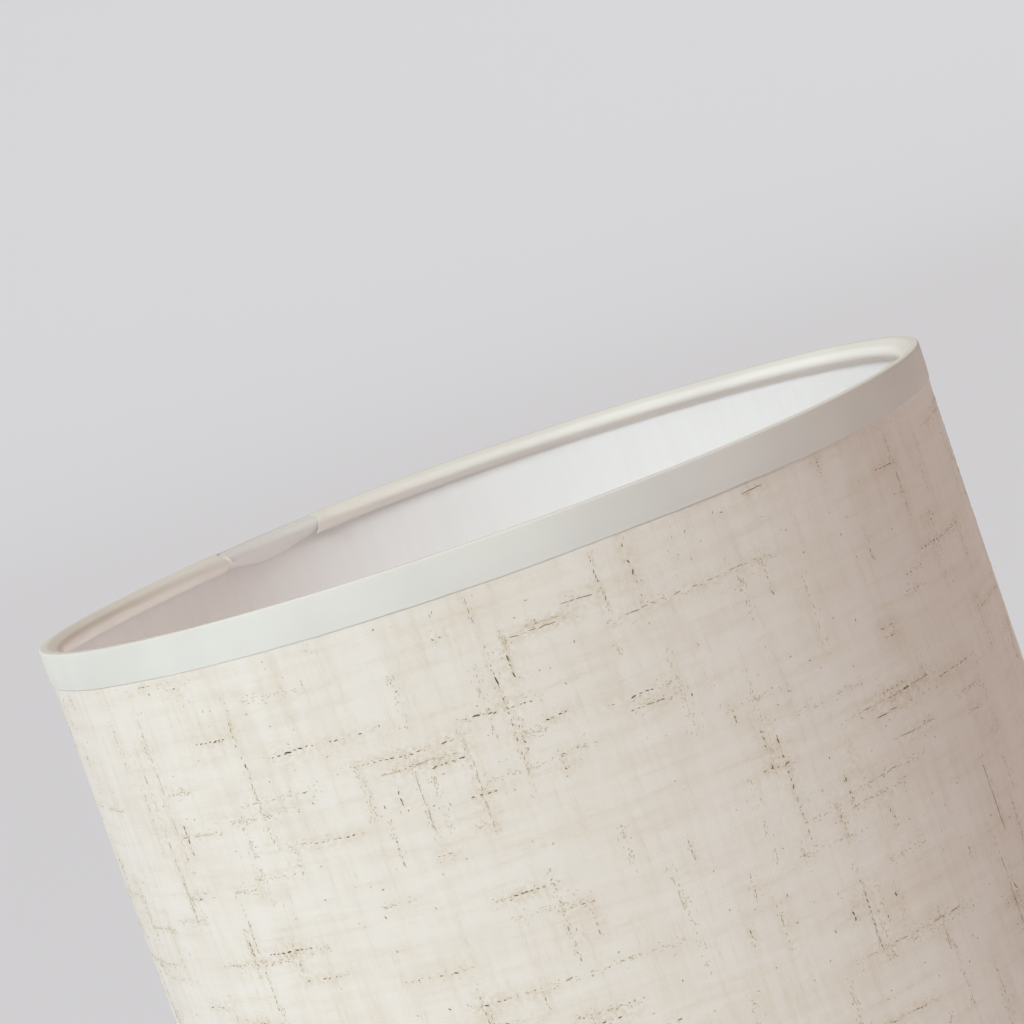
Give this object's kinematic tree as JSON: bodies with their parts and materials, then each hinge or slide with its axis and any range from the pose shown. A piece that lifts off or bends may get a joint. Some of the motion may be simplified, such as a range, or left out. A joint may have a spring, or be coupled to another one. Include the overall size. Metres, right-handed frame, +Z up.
{
  "type": "lamp shade",
  "caption": "Straight drum lamp shade of slubbed linen on a white liner, wire rims bound in folded tape, and a wire-armed fitter ring recessed in the lower rim.",
  "frame": {"origin": "centre of the lower rim, on the plane the shade stands on", "axes": "+Z up along the drum's axis, from the lower rim with the fitter to the open upper rim; +Y towards the vertical lap of the cover and the join of both rim tapes"},
  "size_m": [0.2014, 0.2014, 0.18],
  "materials": {
    "cover": "slubbed plain-weave linen, off-white with brown flecks",
    "liner": "smooth white sheet, slightly satin",
    "tape": "smooth off-white woven tape",
    "strip": "thin smooth off-white tape",
    "wire": "white powder coat",
    "fitter": "white powder coat"
  },
  "bodies": {
    "root": {"liner": "liner", "linen_cover": "cover", "upper_rim_wire": "wire", "lower_rim_wire": "wire", "upper_rim_tape": "tape", "lower_rim_tape": "tape", "upper_join_strip": "strip", "lower_join_strip": "strip", "fitter_ring": "fitter", "fitter_arm_1": "wire", "fitter_arm_2": "wire", "fitter_arm_3": "wire"}
  },
  "joints": []
}
